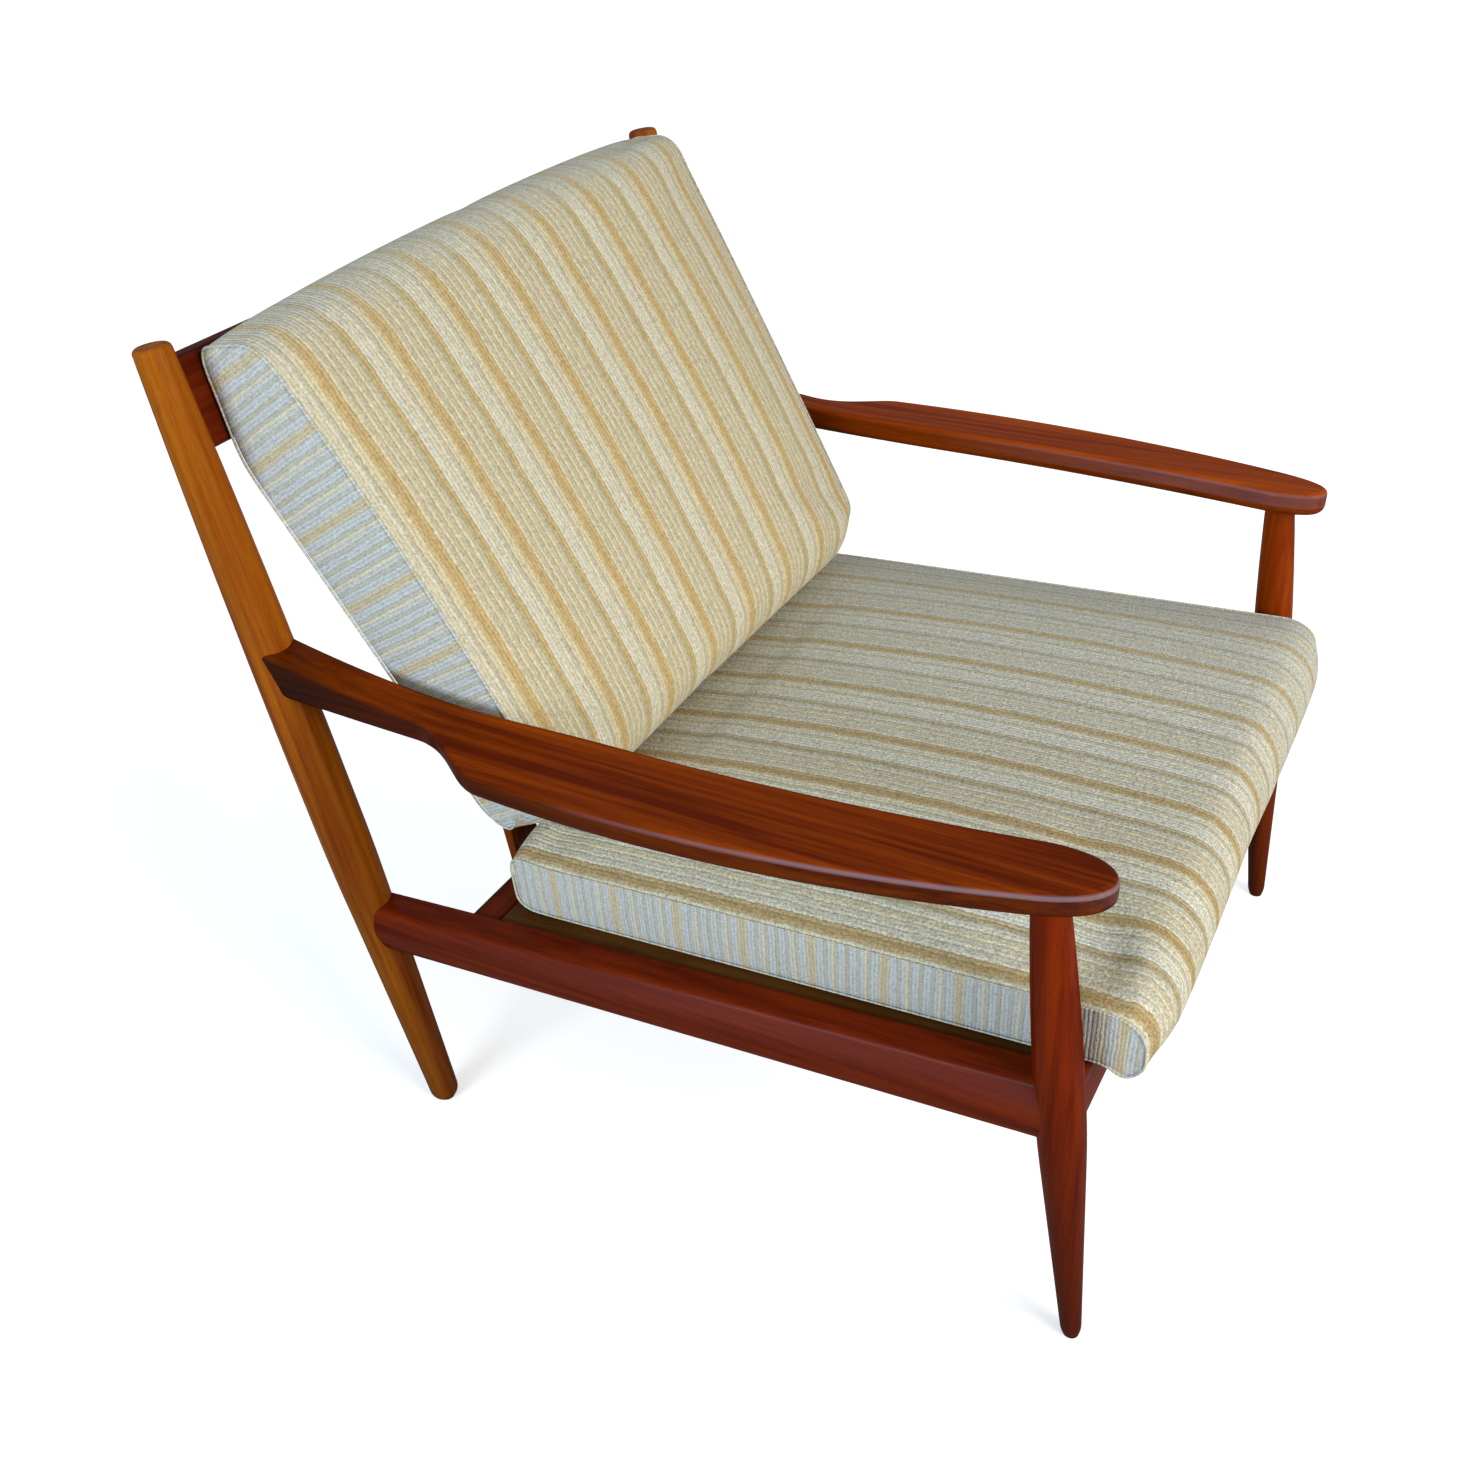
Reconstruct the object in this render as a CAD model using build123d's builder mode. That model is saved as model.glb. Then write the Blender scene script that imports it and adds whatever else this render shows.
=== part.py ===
from build123d import *
import os
from math import cos, radians, sin, sqrt, tan

# Low easy chair: a turned and shaped hardwood frame with two loose cushions.
# Millimetres, +Z up, the chair faces -Y and its origin is on the floor under its middle.
# Pieces of a pair are modelled on the sitter's left (+X) and mirrored to the right.

os.makedirs("parts", exist_ok=True)

# Rear posts: rear leg and back upright in one turned length, raked back
chair_height = 750
post_x = 332
post_foot_y = 289.4
post_rake = 6.7
post_top_radius = 14.4
post_belly_radius = 21.6
post_belly_height = 335
post_taper_start = 260
post_foot_radius = 14
post_foot_flat = 8

# Front legs: turned, thickest where the seat rails meet them
leg_foot_x = 316
leg_foot_y = -363.6
leg_top_x = 320.5
leg_top_y = -313.6
leg_top_radius = 12.6
leg_belly_radius = 19
leg_belly_height = 270
leg_taper_start = 210
leg_foot_radius = 9
leg_foot_flat = 6.5

# Rounded ends of posts and legs
foot_round = 12
post_end_round = 4

# Arms: a broad paddle on a narrow stem, its top leaning outwards
arm_top = 487
arm_cant = 4.6
arm_thickness = 23
arm_tip_y = -354.6
arm_tip_round = 51
arm_inner_tip_x = 290
arm_inner_x = 312
arm_outer_x = 388
arm_outer_tip_x = 346
arm_widest_y = 28.4
shoulder_front_y = 112.4
shoulder_rear_y = 198.4
stem_width = 33
stem_height = 45
stem_rise = 29
arm_top_round = 5
arm_bottom_round = 8.5

# Seat frame: rails whose tops lie in one plane, pitched down to the rear
seat_plane_height = 273.5
seat_pitch = 4.5
side_rail_front_height = 60
side_rail_rear_height = 48
side_rail_thickness = 33
side_rail_bulge = 5
front_rail_height = 58
front_rail_thickness = 26
rear_rail_y = 200.4
rear_rail_height = 40
rear_rail_thickness = 30
rail_round = 4

# Crest rail between the posts
crest_drop = 13
crest_height = 70
crest_thickness = 20
crest_set_back = 4
crest_round = 5

# Stub tenons
tenon_depth = 12
tenon_overlap = 10
tenon_thickness = 9
tenon_shoulder = 9
leg_tenon_radius = 7.5
leg_tenon_length = 14

# Back slats: bent strips from the rear seat rail up to the crest rail
slat_count = 7
slat_width = 36
slat_thickness = 9
slat_spacing = 78
slat_tenon = 8
slat_set_back = 6
slat_bend_radius = 160
slat_lower_lean = 5
slat_round = 2
back_recline = 31

# Seat straps: rubber webbing whose clipped ends drop into grooves in the rails
strap_count = 7
strap_width = 50
strap_thickness = 3
strap_spacing = 80
strap_bend_radius = 5
strap_drop = 14
clip_wall = 0.8
clip_height = 8
groove_set_forward = 6
groove_clearance = 0.2

# Corner blocks glued behind the front rail
block_leg = 46
block_tip = 8
block_height = 30
block_drop = 20

# Cleats glued along the side rails, under the edges of the seat cushion
cleat_width = 28
cleat_height = 14
cleat_drop = 1.5
cleat_end_gap = 2

# Cushions: foam cores in sewn covers
cushion_half_width = 297
cushion_clearance = 0.3
cover_thickness = 2
edge_draw_in = 7
edge_share = 0.86
edge_fullness = 0.15
edge_steepness = 4
seat_front_y = -385.9
seat_front_bulge = 8
seat_rear_y = 180.4
seat_edge_thickness = 66
seat_crown = 18
seat_front_round = 31
seat_corner_round = 18
back_thickness = 82
back_crown = 14
back_rise = 10
back_rear_rise = 11
back_roll = 50
back_top_round = 24
back_corner_round = 15
back_bearing = 44


def save(piece, name):
    """Label one piece and write it to its own file."""
    piece.label = name
    export_step(piece, f"parts/{name}.step")


def save_pair(piece, name):
    """Write a left piece and its mirror image for the right."""
    save(piece, f"left_{name}")
    with BuildPart() as other_side:
        add(piece)
        mirror(about=Plane.YZ, mode=Mode.REPLACE)
    save(other_side.part, f"right_{name}")


# Lines and planes that the pieces share
rake = radians(post_rake)
pitch = radians(seat_pitch)
cant = radians(arm_cant)
recline = radians(back_recline)
lower_lean = radians(slat_lower_lean)
post_foot = Vector(post_x, post_foot_y, 0)
post_along = Vector(0, sin(rake), cos(rake))
post_length = chair_height / cos(rake)
leg_foot = Vector(leg_foot_x, leg_foot_y, 0)
leg_top = Vector(leg_top_x, leg_top_y, arm_top - arm_thickness)
leg_along = (leg_top - leg_foot).normalized()
leg_across = (Vector(1, 0, 0) - leg_along * leg_along.X).normalized()
leg_length = (leg_top - leg_foot).length
arm_plane = Plane(
    origin=(post_x, 0, arm_top),
    x_dir=(cos(cant), 0, -sin(cant)),
    z_dir=(sin(cant), 0, cos(cant)),
)


def seat_height_at(y):
    """Height of the seat plane, on which the seat cushion lies."""
    return seat_plane_height - y * tan(pitch)


def post_at(height):
    """Point on the left post's axis at a height."""
    return post_foot + post_along * (height / cos(rake))


def leg_at(height):
    """Point on the left front leg's axis at a height."""
    return leg_foot + leg_along * (height / leg_along.Z)


def turned_outline(flat_radius, foot_radius, taper_start, belly_radius, belly_height, end_radius, end_height):
    """Half outline of a turned leg: rounded foot, straight taper, belly, curved taper to the end."""
    blend = belly_height - taper_start
    slope = (belly_radius - foot_radius) / (taper_start - foot_round + blend / 2)
    taper_radius = belly_radius - slope * blend / 2
    with BuildSketch() as half:
        with BuildLine():
            Polyline((0, -foot_round), (flat_radius, -foot_round), (flat_radius, 0))
            TangentArc((foot_radius, foot_round), (flat_radius, 0), tangent=(-slope, -1))
            Line((foot_radius, foot_round), (taper_radius, taper_start))
            TangentArc((belly_radius, belly_height), (taper_radius, taper_start), tangent=(0, -1))
            TangentArc((belly_radius, belly_height), (end_radius, end_height), tangent=(0, 1))
            Polyline((end_radius, end_height), (0, end_height), (0, -foot_round))
        make_face()
    return half.sketch


# Rear post before its mortises are cut
with BuildPart() as post_blank:
    with BuildSketch(Plane(origin=post_foot, x_dir=(1, 0, 0), z_dir=Vector(1, 0, 0).cross(post_along))):
        add(
            turned_outline(
                post_foot_flat,
                post_foot_radius,
                post_taper_start,
                post_belly_radius,
                post_belly_height,
                post_top_radius,
                post_length,
            )
        )
    revolve(axis=Axis(post_foot, post_along))
    fillet(post_blank.edges().filter_by(GeomType.CIRCLE).sort_by(Axis.Z)[-1], post_end_round)
    split(bisect_by=Plane.XY, keep=Keep.TOP)

# Front leg before its mortises are cut: its top meets the underside of the arm
with BuildPart() as leg_blank:
    with BuildSketch(Plane(origin=leg_foot, x_dir=leg_across, z_dir=leg_across.cross(leg_along))):
        add(
            turned_outline(
                leg_foot_flat,
                leg_foot_radius,
                leg_taper_start,
                leg_belly_radius,
                leg_belly_height,
                leg_top_radius,
                leg_length + leg_top_radius,
            )
        )
    revolve(axis=Axis(leg_foot, leg_along))
    split(bisect_by=Plane.XY, keep=Keep.TOP)
    split(bisect_by=arm_plane.offset(-arm_thickness), keep=Keep.BOTTOM)

with BuildPart() as leg_tenon:
    with BuildSketch(Plane(origin=leg_top - leg_along * tenon_overlap, x_dir=leg_across, z_dir=leg_along)):
        Circle(leg_tenon_radius)
    extrude(amount=tenon_overlap + leg_tenon_length)

# Side rail: rounded outside, deeper at the front, ending on the axes of the leg and the post
rail_rear = post_at(seat_height_at(post_foot_y) - side_rail_rear_height / 2)
rail_front = leg_at(seat_height_at(leg_foot_y) - side_rail_front_height / 2)
rail_along = (rail_rear - rail_front).normalized()
rail_length = (rail_rear - rail_front).length
rail_across = Vector(rail_along.Y, -rail_along.X, 0).normalized()
rail_plane = Plane(origin=rail_front, x_dir=rail_across, z_dir=rail_along * -1)


def side_rail_section(height):
    """Section of the side rail: flat inside, bulging outside, softened corners."""
    half = side_rail_thickness / 2
    edge = half - side_rail_bulge
    with BuildSketch() as section:
        with BuildLine():
            Polyline((edge, height / 2), (-half, height / 2), (-half, -height / 2), (edge, -height / 2))
            ThreePointArc((edge, -height / 2), (half, 0), (edge, height / 2))
        make_face()
        fillet(section.vertices().group_by(Axis.X)[-1], rail_round * 2)
        fillet(section.vertices().group_by(Axis.X)[0], rail_round)
    return section.sketch


with BuildPart() as rail_blank:
    with BuildSketch(rail_plane):
        add(side_rail_section(side_rail_front_height))
    with BuildSketch(rail_plane.offset(-rail_length)):
        add(side_rail_section(side_rail_rear_height))
    loft()

with BuildPart() as rail_front_tenon:
    with BuildSketch(rail_plane.offset(tenon_depth - leg_belly_radius)):
        Rectangle(tenon_thickness, side_rail_front_height - 2 * tenon_shoulder)
    extrude(amount=-(tenon_depth + tenon_overlap))

with BuildPart() as rail_rear_tenon:
    with BuildSketch(rail_plane.offset(post_belly_radius - tenon_depth - rail_length)):
        Rectangle(tenon_thickness, side_rail_rear_height - 2 * tenon_shoulder)
    extrude(amount=tenon_depth + tenon_overlap)

# Front rail: straight, ending on the axes of the front legs
front_rail_top = seat_height_at(rail_front.Y) - strap_thickness / cos(pitch)
front_rail_plane = Plane(
    origin=(0, rail_front.Y, front_rail_top - front_rail_height / 2), x_dir=(0, 1, 0), z_dir=(1, 0, 0)
)
with BuildPart() as front_rail_blank:
    with BuildSketch(front_rail_plane.offset(-rail_front.X)):
        RectangleRounded(front_rail_thickness, front_rail_height, rail_round)
    extrude(amount=2 * rail_front.X)

with BuildPart() as front_rail_tenon:
    with BuildSketch(front_rail_plane.offset(rail_front.X - leg_belly_radius + tenon_depth)):
        Rectangle(tenon_thickness, front_rail_height - 2 * tenon_shoulder)
    extrude(amount=-(tenon_depth + tenon_overlap))

# Rear seat rail: between the side rails, ahead of the posts
rear_groove_y = rear_rail_y - groove_set_forward
rear_rail_top = seat_height_at(rear_groove_y) - strap_thickness / cos(pitch)
rear_rail_plane = Plane(
    origin=(0, rear_rail_y, rear_rail_top - rear_rail_height / 2), x_dir=(0, 1, 0), z_dir=(1, 0, 0)
)


def side_rail_x_at(y):
    """Distance of a side rail's axis from the middle of the chair."""
    return rail_front.X + (rail_rear.X - rail_front.X) * (y - rail_front.Y) / (rail_rear.Y - rail_front.Y)


rear_rail_reach = side_rail_x_at(rear_rail_y)
with BuildPart() as rear_rail_blank:
    with BuildSketch(rear_rail_plane.offset(-rear_rail_reach)):
        RectangleRounded(rear_rail_thickness, rear_rail_height, rail_round)
    extrude(amount=2 * rear_rail_reach)

with BuildPart() as rear_rail_tenon:
    with BuildSketch(rear_rail_plane.offset(rear_rail_reach - side_rail_thickness / 2 + tenon_depth)):
        Rectangle(tenon_thickness, rear_rail_height - 2 * tenon_shoulder)
    extrude(amount=-(tenon_depth + tenon_overlap))

# Crest rail: between the posts, leaning as they do
crest_middle = post_foot + post_along * (post_length - crest_drop - crest_height / 2)
crest_plane = Plane(
    origin=(0, crest_middle.Y + crest_set_back * cos(rake), crest_middle.Z - crest_set_back * sin(rake)),
    x_dir=(0, cos(rake), -sin(rake)),
    z_dir=(1, 0, 0),
)
with BuildPart() as crest_blank:
    with BuildSketch(crest_plane.offset(-post_x)):
        RectangleRounded(crest_thickness, crest_height, crest_round)
    extrude(amount=2 * post_x)

with BuildPart() as crest_tenon:
    with BuildSketch(crest_plane.offset(post_x - post_top_radius + tenon_depth)):
        Rectangle(tenon_thickness, crest_height - 2 * tenon_shoulder)
    extrude(amount=-(tenon_depth + tenon_overlap))

# Arm before its joints: plan outline crossed with side outline, then rounded rims
stem_end_y = post_at(arm_top).Y
arm_tip_shoulder_y = arm_tip_y + arm_tip_round
half_stem = stem_width / 2
with BuildPart() as arm_blank:
    with BuildSketch(arm_plane.offset(-stem_height)):
        with BuildLine():
            shoulder = Spline(
                (half_stem, shoulder_rear_y),
                (arm_outer_x - post_x - arm_top_round / 2, shoulder_front_y),
                tangents=((0, -1), (0.06, -1)),
                tangent_scalars=(1.3, 0.8),
            )
            outer = ThreePointArc(
                shoulder @ 1,
                (arm_outer_x - post_x, arm_widest_y),
                (arm_outer_tip_x - post_x, arm_tip_shoulder_y),
            )
            tip = Spline(
                outer @ 1,
                ((2 * arm_inner_tip_x + arm_outer_tip_x) / 3 - post_x, arm_tip_y),
                (arm_inner_tip_x - post_x, arm_tip_shoulder_y),
                tangents=(outer % 1, (0.05, 1)),
            )
            inner = ThreePointArc(
                tip @ 1,
                ((arm_inner_tip_x + 3 * arm_inner_x) / 4 - post_x, (arm_tip_shoulder_y + arm_widest_y) / 2),
                (arm_inner_x - post_x, arm_widest_y),
            )
            inner_stem = Spline(inner @ 1, (-half_stem, shoulder_rear_y), tangents=(inner % 1, (0, 1)))
            Polyline(inner_stem @ 1, (-half_stem, stem_end_y), (half_stem, stem_end_y), shoulder @ 0)
        make_face()
    extrude(amount=stem_height + 2 * stem_rise)
    with BuildSketch(Plane(origin=arm_plane.origin, x_dir=(0, 1, 0), z_dir=arm_plane.x_dir).offset(-post_x / 2)):
        with BuildLine():
            flat_top = Line((2 * arm_tip_y, 0), (shoulder_front_y, 0))
            risen_top = Spline(flat_top @ 1, (stem_end_y, stem_rise), tangents=((1, 0), (1, 0.25)))
            underside = Line((2 * arm_tip_y, -arm_thickness), (shoulder_front_y, -arm_thickness))
            risen_under = Spline(
                underside @ 1, (stem_end_y, stem_rise - stem_height), tangents=((1, 0), (1, 0.05))
            )
            Line(flat_top @ 0, underside @ 0)
            Line(risen_top @ 1, risen_under @ 1)
        make_face()
    extrude(amount=post_x, mode=Mode.INTERSECT)
    upper = arm_blank.faces().filter_by(lambda face: face.normal_at().dot(arm_plane.z_dir) > 0.7)
    fillet(upper.edges().filter_by(GeomType.LINE, reverse=True), arm_top_round)
    lower = arm_blank.faces().filter_by(lambda face: face.normal_at().dot(arm_plane.z_dir) < -0.7)
    fillet(lower.edges().filter_by(GeomType.LINE, reverse=True), arm_bottom_round)

post_at_arm = post_at(arm_top + stem_rise - stem_height / 2)
with BuildPart() as arm_tenon:
    with BuildSketch(
        Plane(
            origin=(post_x, post_at_arm.Y - post_belly_radius + tenon_depth, post_at_arm.Z),
            x_dir=arm_plane.x_dir,
            z_dir=(0, 1, 0),
        )
    ):
        Rectangle(tenon_thickness, stem_height - 2 * tenon_shoulder)
    extrude(amount=-(tenon_depth + tenon_overlap))

# Finished arms, posts and front legs
with BuildPart() as arm:
    add(arm_blank.part)
    add(post_blank.part, mode=Mode.SUBTRACT)
    add(leg_tenon.part, mode=Mode.SUBTRACT)
    add(arm_tenon.part)
save_pair(arm.part, "arm")

with BuildPart() as post:
    add(post_blank.part)
    add([rail_rear_tenon.part, crest_tenon.part, arm_tenon.part], mode=Mode.SUBTRACT)
save_pair(post.part, "rear_post")

with BuildPart() as front_leg_piece:
    add(leg_blank.part)
    add(leg_tenon.part)
    add([rail_front_tenon.part, front_rail_tenon.part], mode=Mode.SUBTRACT)
save_pair(front_leg_piece.part, "front_leg")

with BuildPart() as side_rail:
    add(rail_blank.part)
    add([post_blank.part, leg_blank.part], mode=Mode.SUBTRACT)
    add([rail_rear_tenon.part, rail_front_tenon.part])
    add(rear_rail_tenon.part, mode=Mode.SUBTRACT)
save_pair(side_rail.part, "side_rail")

# Back slats: straight up from the seat rail, then bent back to the recline of the cushion
crest_foot_y = crest_plane.origin.Y - crest_height / 2 * sin(rake)
crest_foot_z = crest_plane.origin.Z - crest_height / 2 * cos(rake)
slat_foot_y = rear_rail_y + slat_set_back
bend_z = (
    slat_foot_y - crest_foot_y - rear_rail_top * tan(lower_lean) + crest_foot_z * tan(recline)
) / (tan(recline) - tan(lower_lean))
bend_y = crest_foot_y + (bend_z - crest_foot_z) * tan(recline)
slat_foot = (slat_foot_y - slat_tenon * tan(lower_lean), rear_rail_top - slat_tenon)
slat_head = (crest_foot_y + slat_tenon * tan(recline), crest_foot_z + slat_tenon)

slats = []
for number in range(slat_count):
    slat_x = (number - (slat_count - 1) / 2) * slat_spacing
    with BuildPart() as slat:
        with BuildLine(Plane.YZ.offset(slat_x)) as slat_path:
            FilletPolyline(slat_foot, (bend_y, bend_z), slat_head, radius=slat_bend_radius)
        with BuildSketch(Plane(origin=slat_path.line @ 0, x_dir=(1, 0, 0), z_dir=slat_path.line % 0)):
            RectangleRounded(slat_width, slat_thickness, slat_round)
        sweep()
    slats.append(slat.part)
    save(slat.part, f"back_slat_{number + 1}")

with BuildPart() as crest_rail:
    add(crest_blank.part)
    add([post_blank.part, mirror(post_blank.part, about=Plane.YZ)], mode=Mode.SUBTRACT)
    add([crest_tenon.part, mirror(crest_tenon.part, about=Plane.YZ)])
    add(slats, mode=Mode.SUBTRACT)
save(crest_rail.part, "crest_rail")

# Seat straps: stretched in the seat plane, their ends turned down into the grooves
strap_line_drop = strap_thickness / 2 / cos(pitch)
front_strap_z = seat_height_at(rail_front.Y) - strap_line_drop
rear_strap_z = seat_height_at(rear_groove_y) - strap_line_drop
clip_depth = strap_thickness + 2 * clip_wall
groove_depth = strap_drop + strap_thickness + clip_wall

straps = []
for number in range(strap_count):
    strap_x = (number - (strap_count - 1) / 2) * strap_spacing
    with BuildPart() as strap:
        with BuildLine(Plane.YZ.offset(strap_x)) as strap_path:
            FilletPolyline(
                (rail_front.Y, front_strap_z - strap_drop),
                (rail_front.Y, front_strap_z),
                (rear_groove_y, rear_strap_z),
                (rear_groove_y, rear_strap_z - strap_drop),
                radius=strap_bend_radius,
            )
        with BuildSketch(Plane(origin=strap_path.line @ 0, x_dir=(1, 0, 0), z_dir=strap_path.line % 0)):
            Rectangle(strap_width, strap_thickness)
        sweep()
    straps.append(strap.part)
    save(strap.part, f"seat_strap_{number + 1}")


def strap_end_boxes(groove_y, strap_z, clearance, height):
    """Boxes round the strap ends along one rail, from just below the clips upwards."""
    with BuildPart() as boxes:
        with Locations((0, groove_y, strap_z - strap_drop - clip_wall - clearance)):
            with GridLocations(strap_spacing, 1, strap_count, 1):
                Box(
                    strap_width + 2 * clearance,
                    clip_depth + 2 * clearance,
                    height,
                    align=(Align.CENTER, Align.CENTER, Align.MIN),
                )
    return boxes.part


for name, groove_y, strap_z in (
    ("front_strap_clips", rail_front.Y, front_strap_z),
    ("rear_strap_clips", rear_groove_y, rear_strap_z),
):
    with BuildPart() as clips:
        add(strap_end_boxes(groove_y, strap_z, 0, clip_wall + clip_height))
        add(straps, mode=Mode.SUBTRACT)
    save(clips.part, name)

# Front and rear seat rails, grooved for the straps
with BuildPart() as front_rail:
    add(front_rail_blank.part)
    for blank in (leg_blank.part, rail_blank.part):
        add([blank, mirror(blank, about=Plane.YZ)], mode=Mode.SUBTRACT)
    add([front_rail_tenon.part, mirror(front_rail_tenon.part, about=Plane.YZ)])
    add(strap_end_boxes(rail_front.Y, front_strap_z, groove_clearance, groove_depth), mode=Mode.SUBTRACT)
    add(straps, mode=Mode.SUBTRACT)
save(front_rail.part, "front_rail")

with BuildPart() as rear_rail:
    add(rear_rail_blank.part)
    add([rail_blank.part, mirror(rail_blank.part, about=Plane.YZ)], mode=Mode.SUBTRACT)
    add([rear_rail_tenon.part, mirror(rear_rail_tenon.part, about=Plane.YZ)])
    add(strap_end_boxes(rear_groove_y, rear_strap_z, groove_clearance, groove_depth), mode=Mode.SUBTRACT)
    add(straps, mode=Mode.SUBTRACT)
    add(slats, mode=Mode.SUBTRACT)
save(rear_rail.part, "rear_seat_rail")

# Corner blocks: glued into the front corners of the seat frame, against both rails
front_inner_y = rail_front.Y + front_rail_thickness / 2
inner_drop = side_rail_thickness / 2 / rail_across.X
near_x = side_rail_x_at(front_inner_y) - inner_drop
far_x = side_rail_x_at(front_inner_y + block_leg) - inner_drop
with BuildPart() as corner_block:
    with BuildSketch(Plane.XY.offset(front_rail_top - block_drop)):
        with BuildLine():
            Polyline(
                (near_x, front_inner_y),
                (far_x, front_inner_y + block_leg),
                (far_x - block_tip, front_inner_y + block_leg),
                (near_x - block_leg, front_inner_y + block_tip),
                (near_x - block_leg, front_inner_y),
                close=True,
            )
        make_face()
    extrude(amount=-block_height)
    add(leg_blank.part, mode=Mode.SUBTRACT)
save_pair(corner_block.part, "corner_block")

# Seat cleats: strips that fill the space between the straps and the side rails
cleat_front_y = front_inner_y + cleat_end_gap
cleat_rear_y = rear_rail_y - rear_rail_thickness / 2 - cleat_end_gap
cleat_front_x = side_rail_x_at(cleat_front_y) - inner_drop
cleat_rear_x = side_rail_x_at(cleat_rear_y) - inner_drop
cleat_plane = Plane(
    origin=(0, 0, seat_plane_height - cleat_drop), x_dir=(1, 0, 0), z_dir=(0, sin(pitch), cos(pitch))
)
with BuildPart() as cleat:
    with BuildSketch(cleat_plane):
        with BuildLine():
            Polyline(
                (cleat_front_x, cleat_front_y / cos(pitch)),
                (cleat_rear_x, cleat_rear_y / cos(pitch)),
                (cleat_rear_x - cleat_width, cleat_rear_y / cos(pitch)),
                (cleat_front_x - cleat_width, cleat_front_y / cos(pitch)),
                close=True,
            )
        make_face()
    extrude(amount=-cleat_height, dir=(0, 0, 1))
    add(leg_blank.part, mode=Mode.SUBTRACT)
save_pair(cleat.part, "seat_cleat")


def cushion(plane, section, inset):
    """Loft a cushion across the chair: full in the middle, flatter and drawn in at its sides."""
    with BuildPart() as body:
        for share in (-1, -(1 + edge_share) / 2, -edge_share, -0.5, 0, 0.5, edge_share, (1 + edge_share) / 2, 1):
            drawn = edge_draw_in * (max(abs(share) - edge_share, 0) / (1 - edge_share)) ** 2
            with BuildSketch(plane.offset(share * (cushion_half_width - inset))):
                add(section(1 - (1 - edge_fullness) * abs(share) ** edge_steepness))
                if inset + drawn > 0:
                    offset(amount=-inset - drawn)
        loft(ruled=True)
    return body.part


def save_cushion(plane, section, name):
    """Write a cushion's sewn cover and the foam core that fills it."""
    core = cushion(plane, section, cover_thickness)
    with BuildPart() as cover:
        add(cushion(plane, section, 0))
        add(core, mode=Mode.SUBTRACT)
    save(cover.part, f"{name}_cushion_cover")
    save(core, f"{name}_cushion_core")


# Seat cushion: lies on the straps, its front overhanging the front rail
seat_length = (seat_rear_y - seat_front_y) / cos(pitch)
seat_side_plane = Plane(
    origin=(0, seat_rear_y, seat_height_at(seat_rear_y)), x_dir=(0, -cos(pitch), sin(pitch)), z_dir=(-1, 0, 0)
)


def seat_section(fullness):
    """Side section of the seat cushion, measured forwards from its rear and up from the seat plane."""
    top = seat_edge_thickness
    front = seat_length + seat_front_bulge * fullness
    with BuildSketch() as section:
        with BuildLine():
            Polyline((0, top), (0, cushion_clearance), (front, cushion_clearance), (front, top))
            ThreePointArc((front, top), (front / 2, top + seat_crown * fullness), (0, top))
        make_face()
        fillet(section.vertices().group_by(Axis.X)[-1], seat_front_round)
        fillet(section.vertices().group_by(Axis.X)[0], seat_corner_round)
    return section.sketch


save_cushion(seat_side_plane, seat_section, "seat")

# Back cushion: stands on the rear of the seat cushion and leans on the slats and the crest rail
crown_span = seat_length + seat_front_bulge
crown_radius = (crown_span**2 / 4 + seat_crown**2) / (2 * seat_crown)
bearing_rise = sqrt(crown_radius**2 - (back_bearing - crown_span / 2) ** 2) - crown_radius + seat_crown
back_foot_rise = (seat_edge_thickness + bearing_rise + cushion_clearance) / cos(pitch)
slat_face_y = crest_foot_y - (slat_thickness / 2 + cushion_clearance) / cos(recline)
front_face_y = slat_face_y - back_thickness / cos(recline)
crest_face_y = crest_plane.origin.Y - (crest_thickness / 2 + cushion_clearance) / cos(rake)
back_top = chair_height + back_rise
back_rear_top = chair_height - crest_drop + back_rear_rise
rest_z = (
    crest_face_y - slat_face_y - crest_plane.origin.Z * tan(rake) + crest_foot_z * tan(recline)
) / (tan(recline) - tan(rake))


def back_foot_point(face_y):
    """Where a reclined face of the back cushion meets its underside."""
    level = seat_height_at(0) + back_foot_rise
    y = (face_y + (level - crest_foot_z) * tan(recline)) / (1 + tan(pitch) * tan(recline))
    return Vector(y, level - y * tan(pitch))


def back_section(fullness):
    """Side section of the back cushion in chair depth and height."""
    front_foot = back_foot_point(front_face_y)
    rear_foot = back_foot_point(slat_face_y)
    rest = Vector(slat_face_y + (rest_z - crest_foot_z) * tan(recline), rest_z)
    rear_top = Vector(crest_face_y + (back_rear_top - crest_plane.origin.Z) * tan(rake), back_rear_top)
    front_top = Vector(front_face_y + (back_top - crest_foot_z) * tan(recline), back_top)
    swell = Vector(-cos(recline), sin(recline)) * (back_crown * fullness)
    with BuildSketch() as section:
        with BuildLine():
            Polyline(front_foot, rear_foot, rest, rear_top, front_top)
            ThreePointArc(front_top, (front_foot + front_top) / 2 + swell, front_foot)
        make_face()
        fillet(section.vertices().sort_by_distance(front_foot)[0], back_roll)
        fillet(section.vertices().sort_by_distance(front_top)[0], back_top_round)
        fillet(section.vertices().sort_by_distance(rear_top)[0], back_corner_round)
        fillet(section.vertices().sort_by_distance(rear_foot)[0], back_corner_round)
    return section.sketch


save_cushion(Plane.YZ, back_section, "back")
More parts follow.
